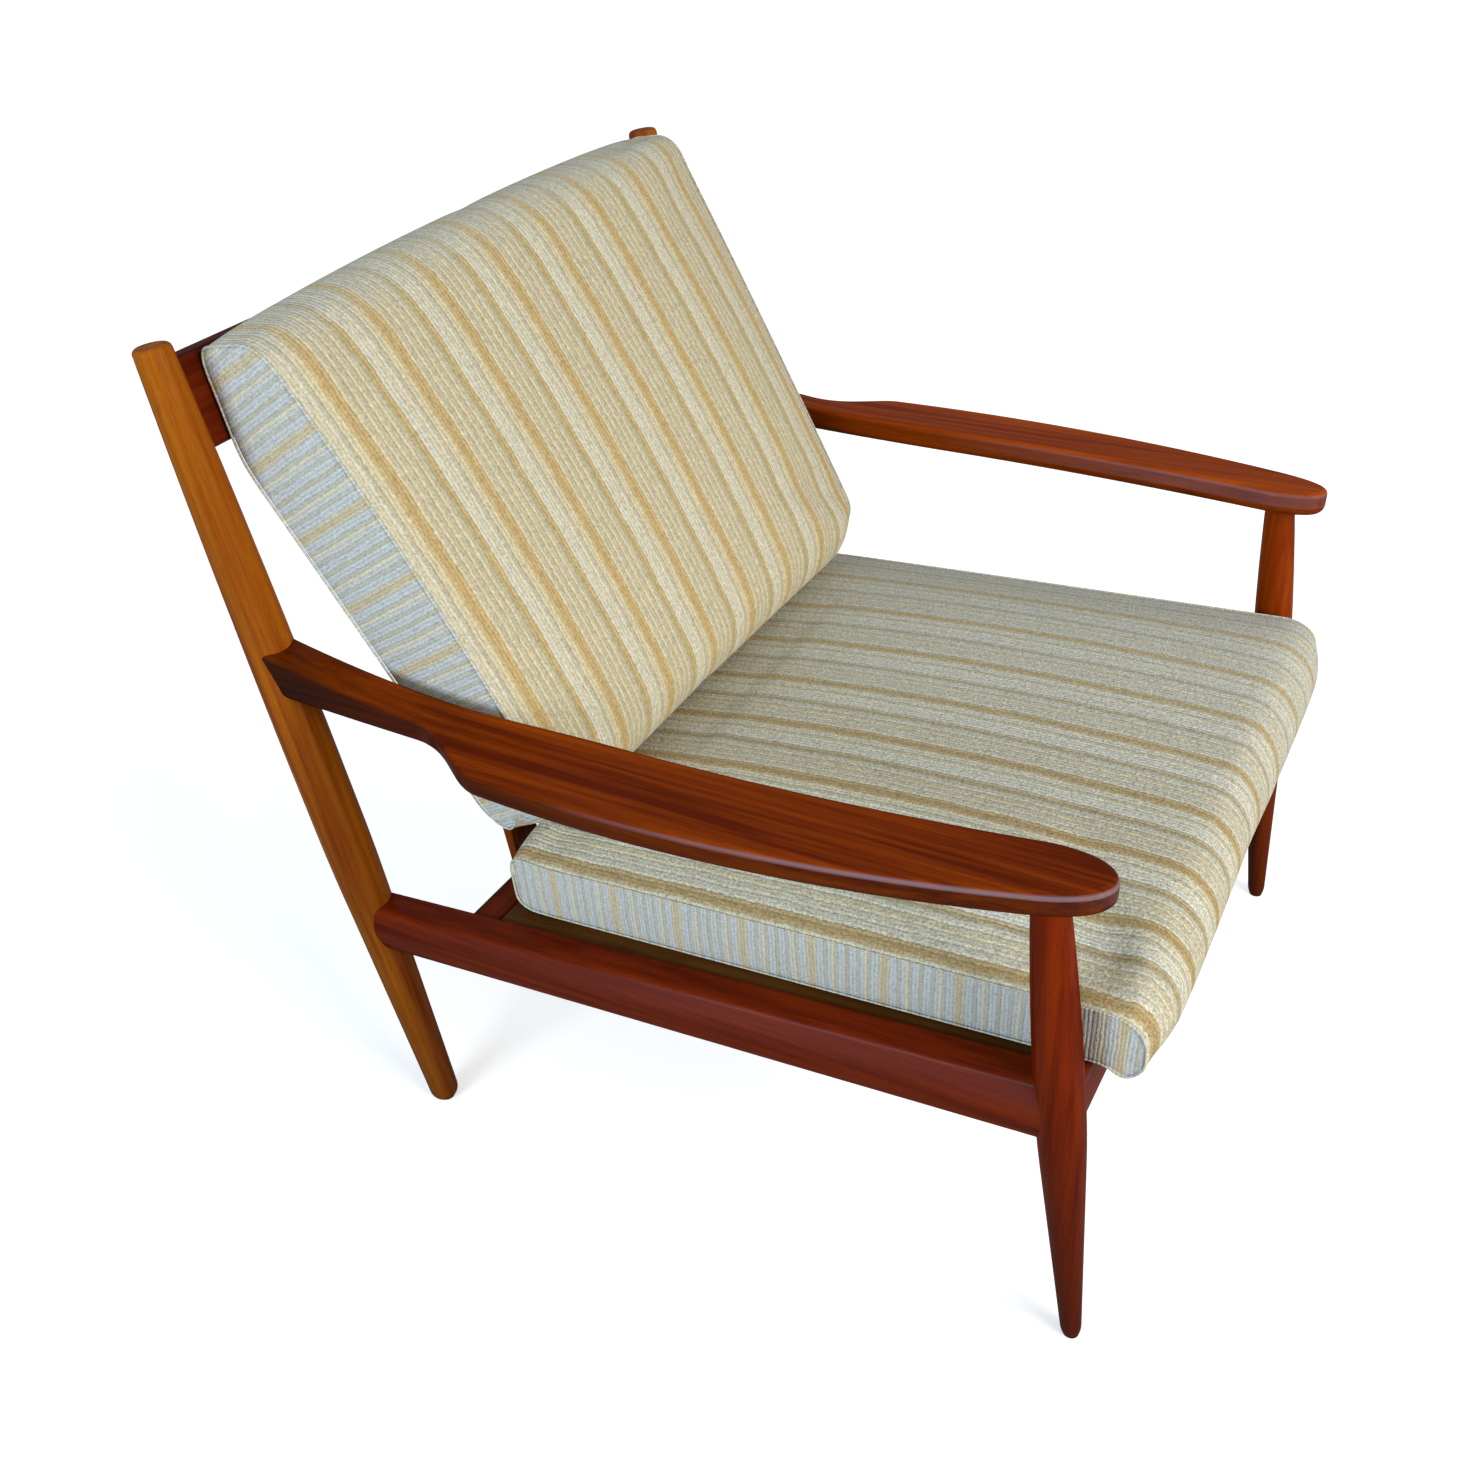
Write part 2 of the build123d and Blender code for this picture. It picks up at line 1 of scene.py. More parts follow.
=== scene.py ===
import math
import bpy
import numpy as np
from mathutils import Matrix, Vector


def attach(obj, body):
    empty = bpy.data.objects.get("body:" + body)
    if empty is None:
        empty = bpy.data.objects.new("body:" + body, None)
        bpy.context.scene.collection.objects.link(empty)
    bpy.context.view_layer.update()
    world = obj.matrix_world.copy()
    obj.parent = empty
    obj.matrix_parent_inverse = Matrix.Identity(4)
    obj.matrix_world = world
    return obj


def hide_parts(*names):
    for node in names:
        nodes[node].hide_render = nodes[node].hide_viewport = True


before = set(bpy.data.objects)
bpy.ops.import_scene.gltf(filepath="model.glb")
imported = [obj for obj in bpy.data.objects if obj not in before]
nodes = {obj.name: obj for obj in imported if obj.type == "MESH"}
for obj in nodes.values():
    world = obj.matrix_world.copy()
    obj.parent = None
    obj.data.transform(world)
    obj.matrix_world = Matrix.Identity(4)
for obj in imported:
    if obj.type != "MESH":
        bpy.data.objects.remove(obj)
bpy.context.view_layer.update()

# Rear posts: each is rear leg and back upright in one length of reddish hardwood,
# turned on a lathe to a slight belly and oiled. The rails and the arm are tenoned into it.
POST_RAKE = math.radians(6.7)
# Pale lilac of the highlight painted along rounded rims.
PAINTED_HIGHLIGHT_COLOUR = (0.30, 0.22, 0.26)
BROAD_BANDS = (1.6, 26.0, 26.0)
STREAKS = (4.5, 150.0, 150.0)
PORES = (70.0, 1500.0, 1500.0)
RIM_BELOW = (-0.08, 0.18)
RIM_ABOVE = (0.80, 0.50)


def new_socket(group, name, kind, way="INPUT", value=None):
    socket = group.interface.new_socket(name=name, in_out=way, socket_type=kind)
    if value is not None:
        socket.default_value = value


def ramp(tree, stops, interpolation="LINEAR"):
    node = tree.nodes.new("ShaderNodeValToRGB")
    node.color_ramp.interpolation = interpolation
    elements = node.color_ramp.elements
    while len(elements) < len(stops):
        elements.new(1.0)
    for element, (place, colour) in zip(elements, stops):
        element.position = place
        element.color = (*colour, 1.0)
    return node


def math_node(tree, operation, a, b=None, clamp=False):
    node = tree.nodes.new("ShaderNodeMath")
    node.operation = operation
    node.use_clamp = clamp
    for index, value in enumerate((a, b)):
        if value is None:
            continue
        if isinstance(value, (int, float)):
            node.inputs[index].default_value = value
        else:
            tree.links.new(value, node.inputs[index])
    return node.outputs[0]


def stretched(tree, vector, scale):
    node = tree.nodes.new("ShaderNodeVectorMath")
    node.operation = "MULTIPLY"
    node.inputs[1].default_value = scale
    tree.links.new(vector, node.inputs[0])
    return node.outputs[0]


def noise(tree, vector, detail=3.0, roughness=0.55, distortion=0.0):
    node = tree.nodes.new("ShaderNodeTexNoise")
    node.inputs["Scale"].default_value = 1.0
    node.inputs["Detail"].default_value = detail
    node.inputs["Roughness"].default_value = roughness
    node.inputs["Distortion"].default_value = distortion
    tree.links.new(vector, node.inputs["Vector"])
    return node.outputs["Fac"]


def weighed(tree, a, share_a, b, share_b):
    """The sum of two values, each times its share."""
    return math_node(
        tree, "ADD", math_node(tree, "MULTIPLY", a, share_a), math_node(tree, "MULTIPLY", b, share_b)
    )


def mixed(tree, factor, a, b, blend="MIX"):
    node = tree.nodes.new("ShaderNodeMix")
    node.data_type = "RGBA"
    node.blend_type = blend
    for socket, value in ((node.inputs["Factor"], factor), (node.inputs["A"], a), (node.inputs["B"], b)):
        if isinstance(value, (int, float)):
            socket.default_value = value
        elif isinstance(value, tuple):
            socket.default_value = (*value, 1.0)
        else:
            tree.links.new(value, socket)
    return node.outputs["Result"]


def hardwood_grain():
    """Long streaks, broad tone changes and fine pores; X runs along the grain, in metres."""
    group = bpy.data.node_groups.new("hardwood_grain", "ShaderNodeTree")
    new_socket(group, "Vector", "NodeSocketVector")
    new_socket(group, "Light", "NodeSocketColor", value=(0.30, 0.075, 0.012, 1.0))
    new_socket(group, "Dark", "NodeSocketColor", value=(0.10, 0.015, 0.003, 1.0))
    new_socket(group, "Painted_Shade", "NodeSocketFloat", value=1.0)
    new_socket(group, "Painted_Highlight", "NodeSocketFloat", value=0.0)
    new_socket(group, "Color", "NodeSocketColor", "OUTPUT")
    new_socket(group, "Roughness", "NodeSocketFloat", "OUTPUT")
    new_socket(group, "Height", "NodeSocketFloat", "OUTPUT")
    start = group.nodes.new("NodeGroupInput")
    end = group.nodes.new("NodeGroupOutput")
    vector = start.outputs["Vector"]
    broad = noise(group, stretched(group, vector, BROAD_BANDS), detail=2.0, distortion=0.4)
    streak = noise(group, stretched(group, vector, STREAKS), detail=4.0, roughness=0.6)
    pores = noise(group, stretched(group, vector, PORES), detail=2.0)
    tone = weighed(group, broad, 0.6, streak, 0.55)
    spread = ramp(group, ((0.43, (0.0, 0.0, 0.0)), (0.71, (1.0, 1.0, 1.0))))
    group.links.new(tone, spread.inputs["Fac"])
    colour = mixed(group, spread.outputs["Color"], start.outputs["Dark"], start.outputs["Light"])
    pore_mask = ramp(group, ((0.34, (1.0, 1.0, 1.0)), (0.46, (0.0, 0.0, 0.0))))
    group.links.new(pores, pore_mask.inputs["Fac"])
    pore_share = math_node(group, "MULTIPLY", pore_mask.outputs["Color"], 0.35)
    colour = mixed(group, pore_share, colour, start.outputs["Dark"])
    # Painted shade: the colour is darkened by the shade input.
    colour = mixed(group, 1.0, colour, start.outputs["Painted_Shade"], "MULTIPLY")
    # Painted highlight: the rims are lightened towards that lilac.
    colour = mixed(group, start.outputs["Painted_Highlight"], colour, PAINTED_HIGHLIGHT_COLOUR)
    group.links.new(colour, end.inputs["Color"])
    rough = math_node(group, "ADD", math_node(group, "MULTIPLY", streak, 0.14), 0.18)
    group.links.new(rough, end.inputs["Roughness"])
    ridges = math_node(group, "MULTIPLY", streak, 0.4)
    height = math_node(group, "SUBTRACT", ridges, pore_mask.outputs["Color"])
    group.links.new(height, end.inputs["Height"])
    return group


def level(tree, socket, start, end, lowest=0.0, highest=1.0):
    """A value that goes from lowest to highest as the socket goes from start to end."""
    node = tree.nodes.new("ShaderNodeMapRange")
    for name, value in (("From Min", start), ("From Max", end), ("To Min", lowest), ("To Max", highest)):
        node.inputs[name].default_value = value
    tree.links.new(socket, node.inputs["Value"])
    return node.outputs["Result"]


def parts_of(tree, vector):
    node = tree.nodes.new("ShaderNodeSeparateXYZ")
    tree.links.new(vector, node.inputs["Vector"])
    return node.outputs


def oiled_wood(name, turn, light, dark, painted_shades=(), painted_highlight=None):
    """The hardwood with its grain along the piece. Each painted shade darkens it by place or by the way
    a face is turned. A painted highlight lightens the rounded rims towards a pale lilac: its most, the
    depth behind which there is none, and the depth ahead of which it runs all along."""
    material = bpy.data.materials.new(name)
    material.use_nodes = True
    tree = material.node_tree
    shader = tree.nodes["Principled BSDF"]
    shader.inputs["Specular IOR Level"].default_value = 0.0
    shader.inputs["Coat Weight"].default_value = 0.07
    shader.inputs["Coat Roughness"].default_value = 0.2
    place = tree.nodes.new("ShaderNodeTexCoord")
    turned = tree.nodes.new("ShaderNodeMapping")
    turned.inputs["Rotation"].default_value = turn
    grain = tree.nodes.new("ShaderNodeGroup")
    grain.node_tree = bpy.data.node_groups.get("hardwood_grain") or hardwood_grain()
    grain.inputs["Light"].default_value = (*light, 1.0)
    grain.inputs["Dark"].default_value = (*dark, 1.0)
    # Painted shade, by height or by the way a face is turned.
    shade = 1.0
    for read, axis, start, end, darkest in painted_shades:
        along = parts_of(tree, place.outputs[read])[axis]
        shade = math_node(tree, "MULTIPLY", level(tree, along, start, end, darkest), shade)
    if painted_shades:
        tree.links.new(shade, grain.inputs["Painted_Shade"])
    # Painted highlight along the rounded rims, by facing and by depth.
    if painted_highlight:
        most, highlight_from, highlight_full = painted_highlight
        facing = parts_of(tree, place.outputs["Normal"])["Z"]
        rim = math_node(tree, "MULTIPLY", level(tree, facing, *RIM_BELOW), level(tree, facing, *RIM_ABOVE))
        depth = parts_of(tree, place.outputs["Object"])["Y"]
        rim = math_node(tree, "MULTIPLY", rim, level(tree, depth, highlight_from, highlight_full, 0.0, most))
        tree.links.new(rim, grain.inputs["Painted_Highlight"])
    bump = tree.nodes.new("ShaderNodeBump")
    bump.inputs["Strength"].default_value = 0.12
    bump.inputs["Distance"].default_value = 0.0004
    tree.links.new(place.outputs["Object"], turned.inputs["Vector"])
    tree.links.new(turned.outputs["Vector"], grain.inputs["Vector"])
    tree.links.new(grain.outputs["Color"], shader.inputs["Base Color"])
    tree.links.new(grain.outputs["Roughness"], shader.inputs["Roughness"])
    tree.links.new(grain.outputs["Height"], bump.inputs["Height"])
    tree.links.new(bump.outputs["Normal"], shader.inputs["Normal"])
    return material


def dress(material, *names):
    for name in names:
        for slot in nodes[name].material_slots:
            slot.material = material


# Painted shade: the posts darken towards the foot.
POST_FOOT_SHADE = (("Object", "Z", 0.02, 0.50, 0.50),)
post_wood = oiled_wood(
    "post_wood", (POST_RAKE, math.pi / 2, 0.0), (0.36, 0.105, 0.006), (0.16, 0.026, 0.002), POST_FOOT_SHADE
)
dress(post_wood, "left_rear_post", "right_rear_post")

# Front legs: turned from the same hardwood, thickest where the seat rails enter them,
# with a round tenon at the top that is glued into the underside of the arm. The near leg has a darker,
# redder copy of the wood as painted shade and the far one a brighter copy as painted light.
UPRIGHT = (0.0, math.pi / 2, 0.0)
# Painted shade: both legs darken towards the foot.
LEG_FOOT_SHADE = (("Object", "Z", 0.0, 0.35, 0.40),)
shaded_near_leg_wood = oiled_wood("shaded_near_leg_wood", UPRIGHT, (0.19, 0.020, 0.001), (0.07, 0.005, 0.0005), LEG_FOOT_SHADE)
dress(shaded_near_leg_wood, "right_front_leg")
lit_far_leg_wood = oiled_wood(
    "lit_far_leg_wood", UPRIGHT, (0.27, 0.040, 0.001), (0.13, 0.014, 0.0005), LEG_FOOT_SHADE
)
dress(lit_far_leg_wood, "left_front_leg")

# Rails: hardwood bars tenoned into posts, legs and each other. Those across the seat are grooved
# for the straps, and the crest rail joins the post tops. Blocks are glued into the front corners,
# and plain cleats along the side rails, under the edges of the seat cushion.
LENGTHWISE = (0.0, 0.0, math.pi / 2)
CROSSWISE = (0.0, 0.0, 0.0)
# Painted highlight: a pale lilac band along the rounded outer face of the side rails, strongest towards
# the front.
RAIL_PAINTED_HIGHLIGHT = (0.05, 0.30, 0.0)
side_rail_wood = oiled_wood(
    "side_rail_wood", LENGTHWISE, (0.17, 0.019, 0.002), (0.065, 0.005, 0.001), painted_highlight=RAIL_PAINTED_HIGHLIGHT
)
dress(side_rail_wood, "left_side_rail", "right_side_rail")
cross_rail_wood = oiled_wood("cross_rail_wood", CROSSWISE, (0.15, 0.018, 0.003), (0.06, 0.006, 0.001))
dress(cross_rail_wood, "front_rail", "rear_seat_rail", "crest_rail")
block_wood = oiled_wood("block_wood", CROSSWISE, (0.36, 0.21, 0.10), (0.22, 0.115, 0.05))
dress(block_wood, "left_corner_block", "right_corner_block")
cleat_wood = oiled_wood("cleat_wood", LENGTHWISE, (0.11, 0.042, 0.007), (0.05, 0.018, 0.003))
dress(cleat_wood, "left_seat_cleat", "right_seat_cleat")

# Arms: sawn from thick boards and shaped by hand to a broad paddle, rims rounded over,
# joined to the post by a tenon and resting on the front leg.
# Painted shade darkens the arms' sides, undersides and rear ends by the post; a painted highlight lightens
# their rounded rims towards the front tips.
ARM_SIDE_AND_REAR_SHADE = (("Normal", "Z", 0.15, 0.95, 0.45), ("Object", "Y", 0.31, 0.12, 0.34))
NEAR_ARM_PAINTED_HIGHLIGHT = (0.50, 0.05, -0.22)
FAR_ARM_PAINTED_HIGHLIGHT = (0.22, 0.05, -0.22)
near_arm_wood = oiled_wood(
    "near_arm_wood", LENGTHWISE, (0.33, 0.055, 0.001), (0.10, 0.010, 0.0005), ARM_SIDE_AND_REAR_SHADE, NEAR_ARM_PAINTED_HIGHLIGHT
)
dress(near_arm_wood, "right_arm")
# Painted light: the far arm has a brighter, more orange copy of the wood.
lit_far_arm_wood = oiled_wood(
    "lit_far_arm_wood", LENGTHWISE, (0.46, 0.075, 0.001), (0.19, 0.020, 0.0005), ARM_SIDE_AND_REAR_SHADE, FAR_ARM_PAINTED_HIGHLIGHT
)
dress(lit_far_arm_wood, "left_arm")

# Back slats: thin hardwood strips, bent to shape and let into the rear seat rail and the crest rail.
# The back cushion leans on them.
slat_wood = oiled_wood("slat_wood", UPRIGHT, (0.26, 0.055, 0.008), (0.11, 0.018, 0.003))
dress(slat_wood, *(name for name in nodes if name.startswith("back_slat")))

# Seat straps: brown rubber webbing stretched from front to rear; a pinched steel clip on each end
# drops into the groove of its rail.
webbing = bpy.data.materials.new("rubber_webbing")
webbing.use_nodes = True
tree = webbing.node_tree
shader = tree.nodes["Principled BSDF"]
shader.inputs["Roughness"].default_value = 0.75
shader.inputs["Specular IOR Level"].default_value = 0.3
place = tree.nodes.new("ShaderNodeTexCoord")
threads = tree.nodes.new("ShaderNodeTexWave")
threads.wave_type = "BANDS"
threads.bands_direction = "X"
threads.inputs["Scale"].default_value = 130.0
threads.inputs["Distortion"].default_value = 0.6
tree.links.new(place.outputs["Object"], threads.inputs["Vector"])
tone = ramp(tree, ((0.0, (0.085, 0.042, 0.012)), (1.0, (0.16, 0.085, 0.026))))
tree.links.new(threads.outputs["Fac"], tone.inputs["Fac"])
tree.links.new(tone.outputs["Color"], shader.inputs["Base Color"])
bump = tree.nodes.new("ShaderNodeBump")
bump.inputs["Distance"].default_value = 0.0005
bump.inputs["Strength"].default_value = 0.5
tree.links.new(threads.outputs["Fac"], bump.inputs["Height"])
tree.links.new(bump.outputs["Normal"], shader.inputs["Normal"])
dress(webbing, *(name for name in nodes if name.startswith("seat_strap")))

steel = bpy.data.materials.new("clip_steel")
steel.use_nodes = True
tree = steel.node_tree
shader = tree.nodes["Principled BSDF"]
shader.inputs["Metallic"].default_value = 1.0
place = tree.nodes.new("ShaderNodeTexCoord")
spots = noise(tree, stretched(tree, place.outputs["Object"], (220.0, 220.0, 220.0)))
dull = ramp(tree, ((0.3, (0.30, 0.29, 0.28)), (0.7, (0.52, 0.51, 0.50))))
tree.links.new(spots, dull.inputs["Fac"])
tree.links.new(dull.outputs["Color"], shader.inputs["Base Color"])
patchy = math_node(tree, "ADD", math_node(tree, "MULTIPLY", spots, 0.3), 0.25)
tree.links.new(patchy, shader.inputs["Roughness"])
dress(steel, "front_strap_clips", "rear_strap_clips")

# Seat cushion: a foam block in a cover of coarse striped wool. One panel wraps over the top, round the
# front and under the bottom; a gusset is sewn into each side, its stripes running up and down.
REPEAT = 0.076
WAVER = 0.004
HAIRINESS = 0.003
DULL_YARN = 0.3
OCHRE = (0.590, 0.425, 0.170)
DEEP_OCHRE = (0.530, 0.360, 0.120)
OLIVE = (0.455, 0.380, 0.165)
MOSS = (0.535, 0.530, 0.440)
SAND = (0.630, 0.570, 0.410)
GREY = (0.530, 0.485, 0.350)
CREAM = (0.720, 0.645, 0.420)
PALE = (0.700, 0.655, 0.470)
WHITE = (0.715, 0.725, 0.630)
ICE = (0.590, 0.625, 0.605)
STRAW = (0.620, 0.525, 0.315)
LICHEN = (0.530, 0.505, 0.370)
FADED = (0.655, 0.565, 0.375)
PANEL_RIBS = (
    OCHRE, DEEP_OCHRE, OCHRE, PALE, GREY, PALE, GREY, CREAM, GREY, PALE,
    GREY, OLIVE, OCHRE, WHITE, WHITE, PALE, WHITE, GREY, PALE, CREAM,
)
GUSSET_RIBS = (
    SAND, STRAW, SAND, ICE, ICE, MOSS, ICE, PALE, MOSS, ICE,
    ICE, LICHEN, ICE, ICE, MOSS, ICE, PALE, MOSS, ICE, ICE,
)


def striped_wool():
    """Woven ribs in a repeating order of coloured yarns; X runs across the ribs, in metres."""
    group = bpy.data.node_groups.new("striped_wool", "ShaderNodeTree")
    new_socket(group, "Vector", "NodeSocketVector")
    new_socket(group, "Paler", "NodeSocketFloat", value=0.0)
    new_socket(group, "Fading", "NodeSocketFloat", value=0.0)
    new_socket(group, "Depth", "NodeSocketFloat", value=0.0)
    new_socket(group, "Flecks", "NodeSocketFloat", value=0.46)
    new_socket(group, "Color", "NodeSocketColor", "OUTPUT")
    new_socket(group, "Roughness", "NodeSocketFloat", "OUTPUT")
    new_socket(group, "Height", "NodeSocketFloat", "OUTPUT")
    start = group.nodes.new("NodeGroupInput")
    end = group.nodes.new("NodeGroupOutput")
    vector = start.outputs["Vector"]
    waver = noise(group, stretched(group, vector, (36.0, 24.0, 24.0)), detail=2.0)
    sway = math_node(group, "MULTIPLY", waver, WAVER)
    across = math_node(group, "ADD", parts_of(group, vector)["X"], sway)
    hairy = noise(group, stretched(group, vector, (520.0, 260.0, 260.0)), detail=2.0)
    across = math_node(group, "ADD", across, math_node(group, "MULTIPLY", hairy, HAIRINESS))
    turns = math_node(group, "DIVIDE", across, REPEAT)
    phase = math_node(group, "FRACT", turns)
    yarns = []
    for ribs in (PANEL_RIBS, GUSSET_RIBS):
        order = ramp(group, [(number / len(ribs), yarn) for number, yarn in enumerate(ribs)], "CONSTANT")
        group.links.new(phase, order.inputs["Fac"])
        yarns.append(order.outputs["Color"])
    colour = mixed(group, start.outputs["Paler"], *yarns)
    colour = mixed(group, start.outputs["Fading"], colour, FADED)
    dyed = group.nodes.new("ShaderNodeSeparateColor")
    dyed.mode = "HSV"
    group.links.new(colour, dyed.inputs["Color"])
    # Painted shade: the strong, saturated yarns are darkened, as between ribs in grazing light.
    strength = math_node(group, "SUBTRACT", dyed.outputs["Green"], DULL_YARN, clamp=True)
    rib_shade = math_node(group, "MULTIPLY", strength, start.outputs["Depth"])
    colour = mixed(group, 1.0, colour, math_node(group, "SUBTRACT", 1.0, rib_shade), "MULTIPLY")
    rib_count = float(len(PANEL_RIBS))
    rib = math_node(group, "FRACT", math_node(group, "MULTIPLY", turns, rib_count))
    rib_round = math_node(group, "SINE", math_node(group, "MULTIPLY", rib, math.pi))
    slub = noise(group, stretched(group, vector, (300.0, 110.0, 110.0)), detail=3.0, roughness=0.6)
    fleck = noise(group, stretched(group, vector, (620.0, 480.0, 480.0)), detail=2.0)
    knots = group.nodes.new("ShaderNodeTexVoronoi")
    knots.inputs["Scale"].default_value = 1.0
    group.links.new(stretched(group, vector, (rib_count / REPEAT, 250.0, 250.0)), knots.inputs["Vector"])
    knot_round = math_node(group, "SUBTRACT", 1.0, knots.outputs["Distance"], clamp=True)
    specks = ramp(group, ((0.36, (0.0, 0.0, 0.0)), (0.64, (1.0, 1.0, 1.0))))
    group.links.new(fleck, specks.inputs["Fac"])
    # Painted light and shade on the weave: each rib and yarn knot is lighter on its crown and darker in
    # the grooves; the slubs and flecks are the yarn's own tone.
    shade = weighed(group, rib_round, 0.16, knot_round, 0.24)
    shade = math_node(group, "ADD", shade, math_node(group, "MULTIPLY", slub, 0.30))
    speckled = math_node(group, "SUBTRACT", specks.outputs["Color"], 0.5)
    speckled = math_node(group, "MULTIPLY", speckled, start.outputs["Flecks"])
    shade = math_node(group, "ADD", shade, math_node(group, "ADD", speckled, 0.23))
    light = ramp(group, ((0.20, (0.56, 0.55, 0.53)), (1.00, (1.22, 1.22, 1.22))))
    group.links.new(shade, light.inputs["Fac"])
    colour = mixed(group, 1.0, colour, light.outputs["Color"], "MULTIPLY")
    group.links.new(colour, end.inputs["Color"])
    rough = math_node(group, "ADD", math_node(group, "MULTIPLY", fleck, 0.15), 0.80)
    group.links.new(rough, end.inputs["Roughness"])
    height = weighed(group, rib_round, 0.6, knot_round, 0.5)
    height = math_node(group, "ADD", height, math_node(group, "MULTIPLY", fleck, 0.4))
    group.links.new(height, end.inputs["Height"])
    return group


def wool(name, turn, shift, paler, gather=1.0, fading=0.0, depth=0.0, flecks=0.46):
    """Striped wool whose ribs are turned, placed and drawn together for one panel of a cover.
    It is mixed towards the gusset's paler yarns by one value, or by more and more along an axis: on a
    gusset that gives its own yarns, on a panel it is painted light. The depth argument paints shade onto
    the strong yarns, as between ribs in grazing light."""
    material = bpy.data.materials.new(name)
    material.use_nodes = True
    tree = material.node_tree
    shader = tree.nodes["Principled BSDF"]
    shader.inputs["Specular IOR Level"].default_value = 0.1
    shader.inputs["Sheen Weight"].default_value = 0.15
    shader.inputs["Sheen Roughness"].default_value = 0.6
    place = tree.nodes.new("ShaderNodeTexCoord")
    turned = tree.nodes.new("ShaderNodeMapping")
    turned.inputs["Rotation"].default_value = turn
    turned.inputs["Location"].default_value = (shift, 0.0, 0.0)
    turned.inputs["Scale"].default_value = (gather, gather, gather)
    weave = tree.nodes.new("ShaderNodeGroup")
    weave.node_tree = bpy.data.node_groups.get("striped_wool") or striped_wool()
    if isinstance(paler, tuple):
        read, axis, *change = paler
        along = parts_of(tree, place.outputs[read])[axis]
        tree.links.new(level(tree, along, *change), weave.inputs["Paler"])
    else:
        weave.inputs["Paler"].default_value = paler
    weave.inputs["Fading"].default_value = fading
    weave.inputs["Depth"].default_value = depth
    weave.inputs["Flecks"].default_value = flecks
    bump = tree.nodes.new("ShaderNodeBump")
    bump.inputs["Strength"].default_value = 0.55
    bump.inputs["Distance"].default_value = 0.0016
    tree.links.new(place.outputs["Object"], turned.inputs["Vector"])
    tree.links.new(turned.outputs["Vector"], weave.inputs["Vector"])
    tree.links.new(weave.outputs["Color"], shader.inputs["Base Color"])
    tree.links.new(weave.outputs["Roughness"], shader.inputs["Roughness"])
    tree.links.new(weave.outputs["Height"], bump.inputs["Height"])
    tree.links.new(bump.outputs["Normal"], shader.inputs["Normal"])
    return material


def corner_arcs(corners, radii, steps=12):
    """Arcs that round the corners of a side outline, in order."""
    arcs = []
    for number, (corner, radius) in enumerate(zip(corners, radii)):
        corner = np.array(corner, float)
        back = np.array(corners[number - 1], float) - corner
        ahead = np.array(corners[(number + 1) % len(corners)], float) - corner
        back /= np.linalg.norm(back)
        ahead /= np.linalg.norm(ahead)
        half = math.acos(float(np.dot(back, ahead))) / 2
        inward = (back + ahead) / np.linalg.norm(back + ahead)
        centre = corner + inward * radius / math.sin(half)
        first = corner + back * radius / math.tan(half) - centre
        last = corner + ahead * radius / math.tan(half) - centre
        sweep = math.pi - 2 * half
        arc = []
        for step in range(steps + 1):
            s = step / steps
            turned = math.sin((1 - s) * sweep) * first + math.sin(s * sweep) * last
            arc.append(centre + turned / math.sin(sweep))
        arcs.append(arc)
    return arcs


def even_points(path, count):
    """That many steps of equal length along a path."""
    path = np.array(path)
    gone = np.concatenate(([0.0], np.cumsum(np.linalg.norm(np.diff(path, axis=0), axis=1))))
    wanted = np.linspace(0.0, gone[-1], count + 1)
    return np.stack([np.interp(wanted, gone, path[:, axis]) for axis in (0, 1)], axis=1)


def outline_sides(arcs, corner_numbers, counts):
    """The outline cut into four sides at the middles of four of its corner arcs."""
    sides = []
    for place, count in enumerate(counts):
        at = corner_numbers[place]
        to = corner_numbers[(place + 1) % 4]
        half = len(arcs[at]) // 2
        path = list(arcs[at][half:])
        number = (at + 1) % len(arcs)
        while number != to:
            path += arcs[number]
            number = (number + 1) % len(arcs)
        path += arcs[to][: half + 1]
        sides.append(even_points(path, count))
    return sides


def gusset_grid(sides):
    """Points of a side gusset, filled in between the four sides of its outline."""
    low, far, high, near = sides[0], sides[1], sides[2][::-1], sides[3][::-1]
    across, up = len(low) - 1, len(far) - 1
    grid = np.zeros((across + 1, up + 1, 2))
    for i in range(across + 1):
        u = i / across
        for j in range(up + 1):
            v = j / up
            edges = (1 - v) * low[i] + v * high[i] + (1 - u) * near[j] + u * far[j]
            ends = (1 - u) * ((1 - v) * low[0] + v * high[0]) + u * ((1 - v) * low[-1] + v * high[-1])
            grid[i, j] = edges - ends
    return grid


SPANS = 56
CROWDING = 1.25
SEAM_ZONE = 0.16
SEAM_BLUR = 3


